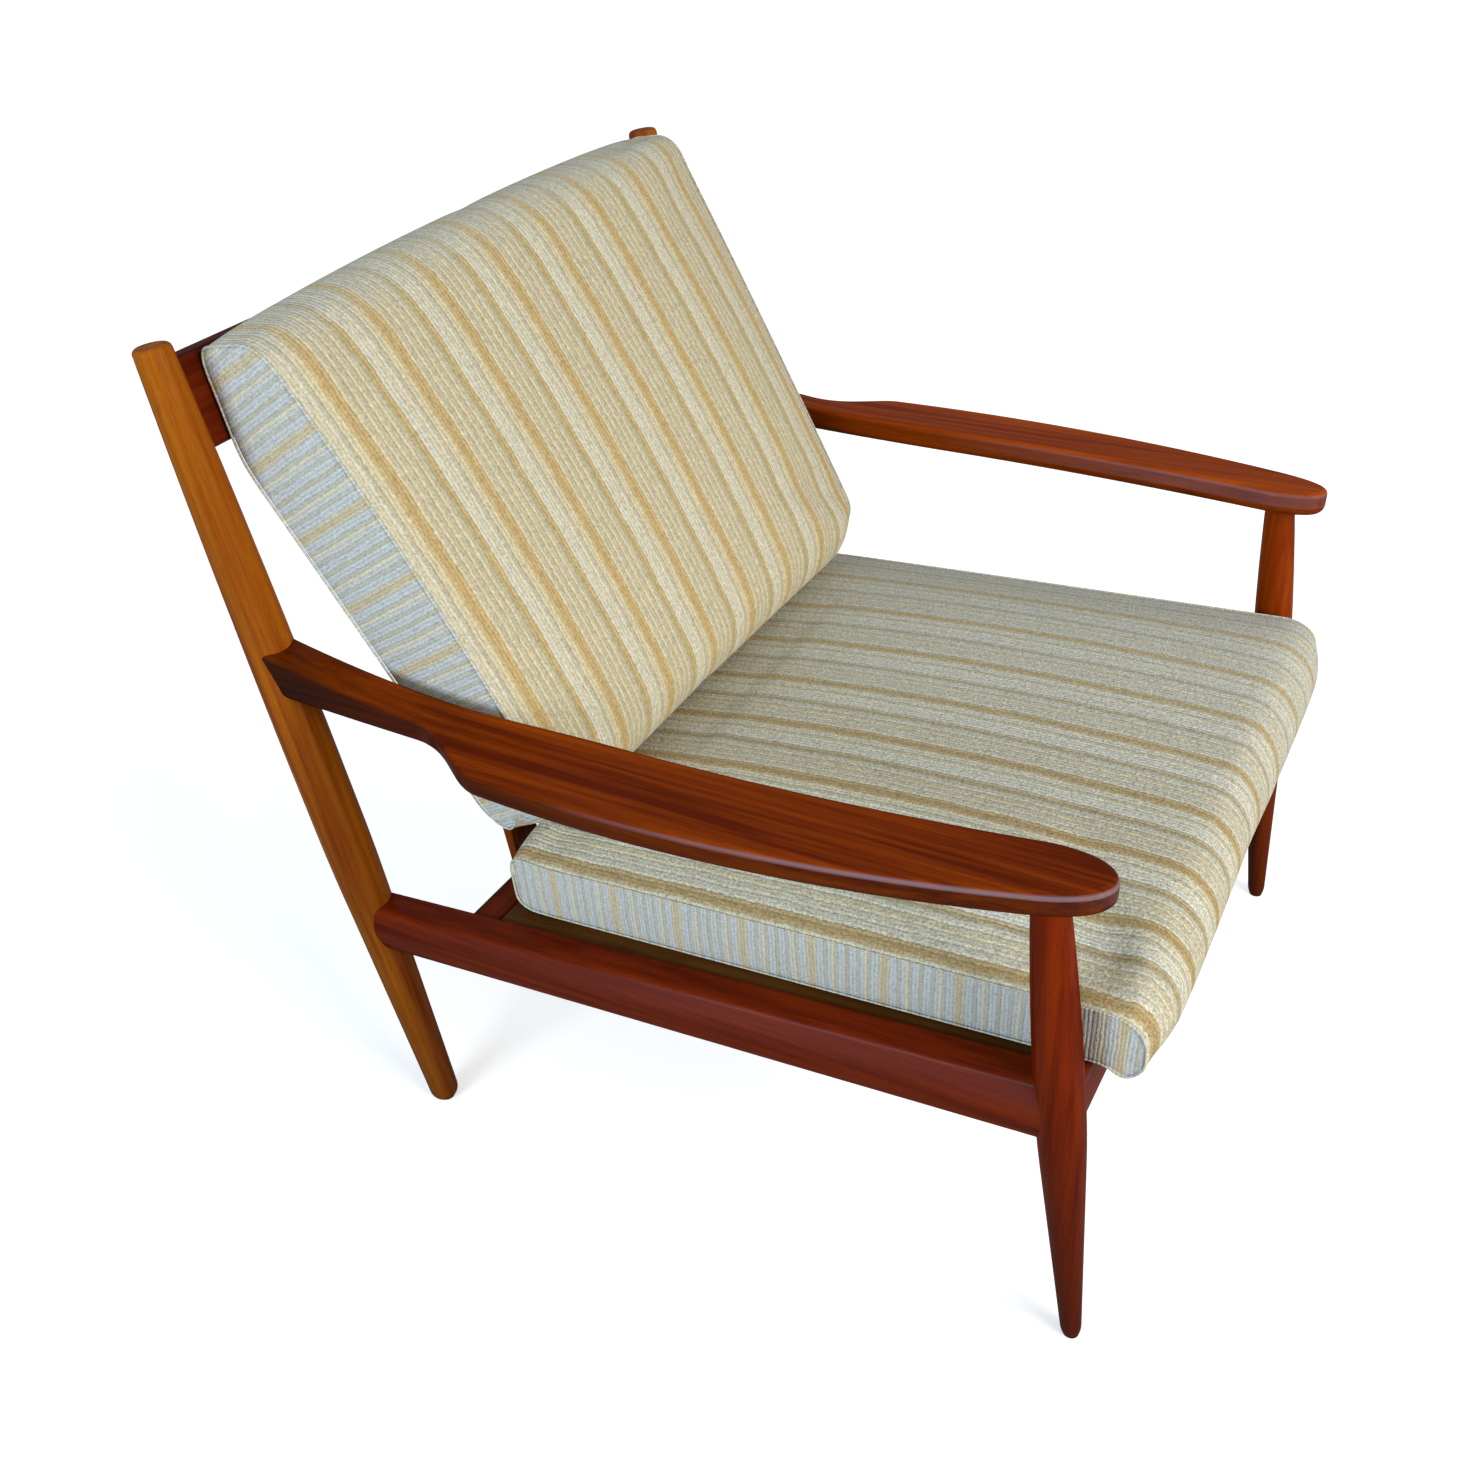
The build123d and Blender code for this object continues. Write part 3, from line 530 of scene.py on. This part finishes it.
def sewn_cover(name, sides, swell, half_width, draws, cloths):
    """A cover before it is filled: a wrapped panel along X and a gusset sewn in at each end.
    Towards the gussets each side is drawn in by its own amount, given for either end."""
    loop = np.concatenate([side[:-1] for side in sides])
    count = len(loop)
    ahead = np.roll(loop, -1, axis=0) - np.roll(loop, 1, axis=0)
    inward = np.stack([ahead[:, 1], -ahead[:, 0]], axis=1)
    inward /= np.linalg.norm(inward, axis=1)[:, None]
    if np.sum(inward * (loop.mean(axis=0) - loop)) < 0:
        inward = -inward
    drawn = []
    for end in draws:
        pulls = np.concatenate([[draw] * (len(side) - 1) for side, draw in zip(sides, end)])
        blur = range(-SEAM_BLUR, SEAM_BLUR + 1)
        pulls = sum(np.roll(pulls, step) for step in blur) / len(blur)
        drawn.append(inward * pulls[:, None])
    points, faces, kinds = [], [], []
    for station in range(SPANS + 1):
        share = 2 * station / SPANS - 1
        share = math.copysign(1 - (1 - abs(share)) ** CROWDING, share)
        pull = (max(abs(share) - (1 - SEAM_ZONE), 0) / SEAM_ZONE) ** 2
        ring = swell(loop + drawn[share > 0] * pull, share)
        points += [(share * half_width, y, z) for y, z in ring]
    for station in range(SPANS):
        for step in range(count):
            a = station * count + step
            b = station * count + (step + 1) % count
            faces.append((a, b, b + count, a + count))
            kinds.append(0)
    lengths = [len(side) - 1 for side in sides]
    starts = np.cumsum([0] + lengths)
    across, up = lengths[0], lengths[1]
    for base in (0, SPANS * count):
        ring = np.array(points[base : base + count])[:, 1:]
        grid = gusset_grid(
            [ring[(start + np.arange(length + 1)) % count] for start, length in zip(starts, lengths)]
        )
        index = {}
        for i in range(across + 1):
            for j in range(up + 1):
                if j == 0:
                    index[i, j] = base + i
                elif i == across:
                    index[i, j] = base + starts[1] + j
                elif j == up:
                    index[i, j] = base + starts[2] + (across - i)
                elif i == 0:
                    index[i, j] = base + (starts[3] + (up - j)) % count
                else:
                    index[i, j] = len(points)
                    points.append((points[base][0], *grid[i, j]))
        for i in range(across):
            for j in range(up):
                faces.append((index[i, j], index[i + 1, j], index[i + 1, j + 1], index[i, j + 1]))
                kinds.append(1)
    mesh = bpy.data.meshes.new(name)
    mesh.from_pydata([tuple(map(float, p)) for p in points], [], [tuple(map(int, f)) for f in faces])
    mesh.polygons.foreach_set("material_index", kinds)
    for cloth in cloths:
        mesh.materials.append(cloth)
    cover = bpy.data.objects.new(name, mesh)
    bpy.context.scene.collection.objects.link(cover)
    seam = [*range(count), *range(SPANS * count, SPANS * count + count)]
    cover.vertex_groups.new(name="seam").add(seam, 1.0, "REPLACE")
    bpy.ops.object.select_all(action="DESELECT")
    bpy.context.view_layer.objects.active = cover
    cover.select_set(True)
    bpy.ops.object.mode_set(mode="EDIT")
    bpy.ops.mesh.select_all(action="SELECT")
    bpy.ops.mesh.normals_make_consistent(inside=False)
    bpy.ops.object.mode_set(mode="OBJECT")
    return cover


FOAM_PRESSURE = 4.0
MOST_BULGE = 0.006
FILL_FRAMES = 20


def fill_cover(cover):
    """Blow the sewn cover up against its own cloth, as the foam inside does."""
    start = np.array([v.co[:] for v in cover.data.vertices])
    cloth = cover.modifiers.new("filling", "CLOTH")
    cloth.settings.quality = 6
    cloth.settings.mass = 0.25
    cloth.settings.tension_stiffness = 25.0
    cloth.settings.compression_stiffness = 25.0
    cloth.settings.shear_stiffness = 10.0
    cloth.settings.bending_stiffness = 4.0
    cloth.settings.use_pressure = True
    cloth.settings.uniform_pressure_force = FOAM_PRESSURE
    cloth.settings.vertex_group_mass = "seam"
    cloth.settings.pin_stiffness = 1.0
    cloth.settings.effector_weights.gravity = 0.0
    cloth.collision_settings.use_collision = False
    cloth.point_cache.frame_start = 1
    cloth.point_cache.frame_end = FILL_FRAMES
    scene = bpy.context.scene
    for number in range(1, FILL_FRAMES + 1):
        scene.frame_set(number)
    view = bpy.context.evaluated_depsgraph_get()
    filled = np.array([v.co[:] for v in cover.evaluated_get(view).data.vertices])
    cover.modifiers.remove(cloth)
    scene.frame_set(1)
    move = filled - start
    far = np.maximum(np.linalg.norm(move, axis=1), 1e-9)
    move *= (MOST_BULGE * np.tanh(far / MOST_BULGE) / far)[:, None]
    cover.data.vertices.foreach_set("co", (start + move).ravel())


WELT = 0.0011


def seam_welt(cover, sides):
    """The gusset's rolled edge where it is sewn to the panel: a thin ridge along each seam."""
    count = sum(len(side) - 1 for side in sides)
    bpy.ops.object.select_all(action="DESELECT")
    for base in (0, SPANS * count):
        line = bpy.data.curves.new(cover.name + "_seam", "CURVE")
        line.dimensions = "3D"
        line.bevel_depth = WELT
        line.bevel_resolution = 2
        line.materials.append(cover.data.materials[1])
        spline = line.splines.new("POLY")
        spline.points.add(count - 1)
        for number, point in enumerate(spline.points):
            point.co = (*cover.data.vertices[base + number].co, 1.0)
        spline.use_cyclic_u = True
        welt = bpy.data.objects.new(line.name, line)
        bpy.context.scene.collection.objects.link(welt)
        bpy.context.view_layer.objects.active = welt
        welt.select_set(True)
    bpy.ops.object.convert(target="MESH")
    cover.select_set(True)
    bpy.context.view_layer.objects.active = cover
    bpy.ops.object.join()


def finish_cover(cover):
    """One subdivision and smooth shading."""
    divide = cover.modifiers.new("fine", "SUBSURF")
    divide.levels = 1
    divide.render_levels = 1
    bpy.ops.object.select_all(action="DESELECT")
    bpy.context.view_layer.objects.active = cover
    cover.select_set(True)
    bpy.ops.object.modifier_apply(modifier=divide.name)
    bpy.ops.object.shade_smooth()


SEAT_PITCH = math.radians(4.5)
SEAT_REAR = (0.1804, 0.2593)
SEAT_LENGTH = 0.5750
SEAT_EDGE = 0.066
SEAT_CROWN = 0.018
SEAT_BULGE = 0.008
REAR_RISE = 0.010
REAR_LEAN = 0.005
ASKEW = 0.005
DROOP = 0.013
RAIL_FACE = -0.350
RAIL_EASE = 0.014
UNDER_BACK = 0.11
CLEAR = 0.0004
SLACK = 0.003
SEAT_RADII = (0.015, 0.029, 0.030, 0.017)
SEAT_STEPS = (54, 8, 54, 8)
SEAT_HALF = 0.293
ahead_of_seat = np.array((-math.cos(SEAT_PITCH), math.sin(SEAT_PITCH)))
above_seat = np.array((math.sin(SEAT_PITCH), math.cos(SEAT_PITCH)))


def seat_place(s, w):
    """Depth and height of a point measured forwards from the cushion's rear and up from the seat plane."""
    return np.array(SEAT_REAR) + s * ahead_of_seat + w * above_seat


def seat_swell(ring, share):
    """Top crowned and front bulging, less so towards the gussets."""
    fullness = 1 - 0.85 * share**4
    s = (ring - SEAT_REAR) @ ahead_of_seat / SEAT_LENGTH
    w = (ring - SEAT_REAR) @ above_seat / SEAT_EDGE
    rise = SEAT_CROWN * fullness * 4 * np.clip(s * (1 - s), 0, 1) * np.clip(w, 0, 1)
    reach = SEAT_BULGE * fullness * np.clip(s, 0, 1) ** 3
    return ring + np.outer(rise, above_seat) + np.outer(reach, ahead_of_seat)


def within(value):
    """The value, kept between none and all."""
    return min(max(value, 0.0), 1.0)


low, high = CLEAR, SEAT_EDGE - SLACK
near, far = SLACK, SEAT_LENGTH - SLACK
seat_corners = [seat_place(near, low), seat_place(far, low), seat_place(far, high), seat_place(near, high)]
seat_arcs = corner_arcs(seat_corners, SEAT_RADII)
seat_sides = outline_sides(seat_arcs, (0, 1, 2, 3), SEAT_STEPS)
SEAT_SHIFT = -0.006
SEAT_GATHER = 1.045
# Painted light: the seat panel is mixed towards the paler, bluer gusset yarns in place of cool light from
# above, more so towards its left, far side as a painted sheen.
PAINTED_COOL_SHEEN_LEFTWARD = ("Object", "X", -0.15, 0.28, 0.28, 0.82)
GATHER = 1.22
SEAT_DRAWS = ((0.000, 0.009, 0.013, 0.004), (0.004, 0.009, 0.003, 0.004))
# The seat panel's depth paints shade onto its strong yarns, as under grazing light.
seat_cloths = (
    wool("seat_panel_wool", (0.0, 0.0, 0.0), SEAT_SHIFT, PAINTED_COOL_SHEEN_LEFTWARD, SEAT_GATHER, depth=0.60, flecks=0.60),
    wool("seat_gusset_wool", (0.0, 0.0, math.pi / 2), 0.01, 1.0, GATHER, flecks=0.30),
)
seat_cover = sewn_cover("seat_cushion", seat_sides, seat_swell, SEAT_HALF, SEAT_DRAWS, seat_cloths)
fill_cover(seat_cover)
seam_welt(seat_cover, seat_sides)
for vertex in seat_cover.data.vertices:
    from_rear = np.array((vertex.co.y, vertex.co.z)) - SEAT_REAR
    s, w = from_rear @ ahead_of_seat, from_rear @ above_seat
    roof = SEAT_EDGE + 4 * SEAT_CROWN * (s / SEAT_LENGTH) * (1 - s / SEAT_LENGTH)
    shift = max(CLEAR - w, 0.0)
    if s < UNDER_BACK:
        shift -= max(w - roof, 0.0)
    share = within(w / SEAT_EDGE) * within(1 - s / SEAT_LENGTH) ** 1.5
    shift += (REAR_RISE + REAR_LEAN * vertex.co.x / SEAT_HALF) * share
    over_rail = within((RAIL_FACE - vertex.co.y) / RAIL_EASE)
    shift -= DROOP * over_rail**2 * (3 - 2 * over_rail) * (1 - within(w / SEAT_EDGE))
    ahead = -ASKEW * vertex.co.x / SEAT_HALF * within(s / SEAT_LENGTH)
    vertex.co.y += shift * above_seat[0] + ahead * ahead_of_seat[0]
    vertex.co.z += shift * above_seat[1] + ahead * ahead_of_seat[1]
finish_cover(seat_cover)
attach(seat_cover, "seat_cushion")
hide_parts("seat_cushion_cover", "seat_cushion_core")

# Back cushion: the same foam and wool, standing on the seat cushion and leaning on the slats and
# the crest rail. Its panel wraps over the top, so the stripes run up the front and over, and
# gussets close the sides.
RECLINE = math.radians(31.0)
FRONT_FOOT = (0.07976, 0.34960)
REAR_FOOT = (0.17111, 0.34241)
REST = (0.36026, 0.65723)
REAR_TOP = (0.37250, 0.7465)
FRONT_TOP = (0.30900, 0.7600)
CREST_TOP = 0.7372
ABOVE_CREST = 0.009
BACK_THICKNESS = 0.082
BACK_CROWN = 0.014
BACK_HALF = 0.298
BACK_ASIDE = -0.003
BACK_LEAN = 0.006
TOP_CROWN = 0.012
BACK_DRAWS = ((0.030, 0.002, 0.002, 0.000), (0.024, 0.002, 0.003, 0.008))
FAR_TAPER = 0.018
BACK_RADII = (0.046, 0.028, 0.090, 0.014, 0.030)
BACK_STEPS = (10, 42, 10, 42)
out_of_back = np.array((-math.cos(RECLINE), math.sin(RECLINE)))
up_the_back = np.array((math.sin(RECLINE), math.cos(RECLINE)))
off_crest = np.array((-math.cos(POST_RAKE), math.sin(POST_RAKE)))
back_length = (np.array(FRONT_TOP) - FRONT_FOOT) @ up_the_back


def back_swell(ring, share):
    """Front face crowned, less so towards the gussets and least at the left one."""
    fullness = 1 - (0.8 if share > 0 else 0.1) * share**4
    u = (ring - FRONT_FOOT) @ up_the_back / back_length
    d = (ring - REAR_FOOT) @ out_of_back / BACK_THICKNESS
    rise = BACK_CROWN * fullness * 4 * np.clip(u * (1 - u), 0, 1) * np.clip(d, 0, 1)
    return ring + np.outer(rise, out_of_back)


back_corners = [
    np.array(FRONT_FOOT) - SLACK * out_of_back,
    np.array(REAR_FOOT),
    np.array(REST),
    np.array(REAR_TOP),
    np.array(FRONT_TOP) - SLACK * out_of_back - SLACK * up_the_back,
]
back_arcs = corner_arcs(back_corners, BACK_RADII)
back_sides = outline_sides(back_arcs, (0, 1, 3, 4), BACK_STEPS)
BACK_SHIFT = 0.0452
# Painted shade: faces of the back cushion turned upwards are mixed towards the greyer, bluer gusset yarns.
PAINTED_TOP_SHADE = ("Normal", "Z", 0.72, 0.95, 0.0, 0.6)
back_cloths = (
    wool("back_panel_wool", (0.0, 0.0, 0.0), BACK_SHIFT, PAINTED_TOP_SHADE, fading=0.25, flecks=0.36),
    wool("back_gusset_wool", (RECLINE, math.pi / 2, 0.0), 0.02, 1.0, GATHER, flecks=0.30),
)
back_cover = sewn_cover("back_cushion", back_sides, back_swell, BACK_HALF, BACK_DRAWS, back_cloths)
fill_cover(back_cover)
seam_welt(back_cover, back_sides)
for vertex in back_cover.data.vertices:
    place = np.array((vertex.co.y, vertex.co.z))
    share = within((place - FRONT_FOOT) @ up_the_back / back_length)
    aside = vertex.co.x / BACK_HALF
    place += BACK_LEAN * aside * share * up_the_back
    place[1] += TOP_CROWN * (1 - min(aside**2, 1.0)) * share**3
    place += max(-((place - REAR_FOOT) @ out_of_back), 0.0) * out_of_back
    place += max((np.array(REAR_FOOT) - place) @ above_seat, 0.0) * above_seat
    if place[1] < CREST_TOP + ABOVE_CREST:
        place += max(CLEAR - (place - REST) @ off_crest, 0.0) * off_crest
    taper = FAR_TAPER * (1 - share) * max(aside, 0.0) ** 2
    vertex.co = (vertex.co.x + BACK_ASIDE - taper, *map(float, place))
finish_cover(back_cover)
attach(back_cover, "back_cushion")
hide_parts("back_cushion_cover", "back_cushion_core")

# Floor: a plain pale studio floor that runs out of sight, white to the camera, with the chair's
# soft shadow. It glows more where the lamps reach it less, so that it is evenly white.
NEAR_GLOW = (-0.8, 0.2, 0.28, 0.66)
FAR_GLOW = (0.2, 3.0, 0.0, 0.10)


def seen_directly(tree):
    """One for what the camera sees, itself or in a mirror or glass."""
    path = tree.nodes.new("ShaderNodeLightPath")
    seen = math_node(tree, "MAXIMUM", path.outputs["Is Camera Ray"], path.outputs["Is Glossy Ray"])
    return math_node(tree, "MAXIMUM", seen, path.outputs["Is Transmission Ray"])


bpy.ops.object.select_all(action="DESELECT")
bpy.ops.mesh.primitive_plane_add(size=60.0, location=(0.0, 0.0, 0.0))
floor = bpy.context.active_object
floor.name = "studio_floor"
paint = bpy.data.materials.new("floor_paint")
paint.use_nodes = True
tree = paint.node_tree
tree.nodes.clear()
out = tree.nodes.new("ShaderNodeOutputMaterial")
matt = tree.nodes.new("ShaderNodeBsdfDiffuse")
glow = tree.nodes.new("ShaderNodeEmission")
glow.inputs["Color"].default_value = (1.0, 1.0, 1.0, 1.0)
shows_white = seen_directly(tree)
across = parts_of(tree, tree.nodes.new("ShaderNodeTexCoord").outputs["Object"])["X"]
away_from_lamps = math_node(tree, "ADD", level(tree, across, *NEAR_GLOW), level(tree, across, *FAR_GLOW))
tree.links.new(math_node(tree, "MULTIPLY", shows_white, away_from_lamps), glow.inputs["Strength"])
tree.links.new(mixed(tree, shows_white, (0.24, 0.23, 0.22), (0.86, 0.86, 0.86)), matt.inputs["Color"])
total = tree.nodes.new("ShaderNodeAddShader")
tree.links.new(matt.outputs["BSDF"], total.inputs[0])
tree.links.new(glow.outputs["Emission"], total.inputs[1])
tree.links.new(total.outputs["Shader"], out.inputs["Surface"])
floor.data.materials.append(paint)

# Light: a pale room all round, a broad warm lamp ahead of the chair and a smaller cool one at its
# right side, which draws soft highlights along the rims of the arms and the rails, on top of the highlight
# painted into the wood there.
world = bpy.data.worlds.new("studio")
bpy.context.scene.world = world
world.use_nodes = True
tree = world.node_tree
tree.nodes.clear()
out = tree.nodes.new("ShaderNodeOutputWorld")
room = tree.nodes.new("ShaderNodeBackground")
room.inputs["Color"].default_value = (0.86, 0.94, 1.0, 1.0)
room.inputs["Strength"].default_value = 0.38
white = tree.nodes.new("ShaderNodeBackground")
white.inputs["Color"].default_value = (1.0, 1.0, 1.0, 1.0)
white.inputs["Strength"].default_value = 1.0
blend = tree.nodes.new("ShaderNodeMixShader")
tree.links.new(seen_directly(tree), blend.inputs["Fac"])
tree.links.new(room.outputs["Background"], blend.inputs[1])
tree.links.new(white.outputs["Background"], blend.inputs[2])
tree.links.new(blend.outputs["Shader"], out.inputs["Surface"])


def lamp(name, place, target, width, height, power, colour):
    data = bpy.data.lights.new(name, "AREA")
    data.shape = "RECTANGLE"
    data.size = width
    data.size_y = height
    data.energy = power
    data.color = colour
    holder = bpy.data.objects.new(name, data)
    bpy.context.scene.collection.objects.link(holder)
    holder.location = place
    holder.rotation_euler = (Vector(target) - Vector(place)).to_track_quat("-Z", "Y").to_euler()


lamp("front_lamp", (-0.9, -3.2, 1.6), (0.0, 0.0, 0.45), 2.0, 1.9, 116.0, (1.0, 0.94, 0.84))
lamp("side_lamp", (-2.7, 0.65, 1.25), (0.0, 0.0, 0.40), 1.3, 1.1, 52.0, (0.72, 0.85, 1.0))

# Camera: where the photograph was taken from, above the sitter's right front, looking down.
# Its focal length and the middle of its view are in pixels of the square picture.
PICTURE = 1457.0
FOCAL = 1452.888
MIDDLE = (770.56, 858.365)
lens = bpy.data.cameras.new("camera")
lens.sensor_width = 36.0
lens.lens = lens.sensor_width * FOCAL / PICTURE
lens.shift_x = -(MIDDLE[0] - PICTURE / 2) / PICTURE
lens.shift_y = (MIDDLE[1] - PICTURE / 2) / PICTURE
camera = bpy.data.objects.new("camera", lens)
bpy.context.scene.collection.objects.link(camera)
camera.location = (-1.03243, -0.52281, 1.09215)
right = Vector((0.471424, -0.8804, -0.051527))
up = Vector((0.570896, 0.260119, 0.778727))
back = Vector((-0.672188, -0.396527, 0.625243))
turn = camera.matrix_world.to_3x3()
for row in range(3):
    turn[row] = (right[row], up[row], back[row])
camera.rotation_euler = turn.to_euler()
bpy.context.scene.camera = camera
bpy.context.scene.view_settings.view_transform = "Standard"
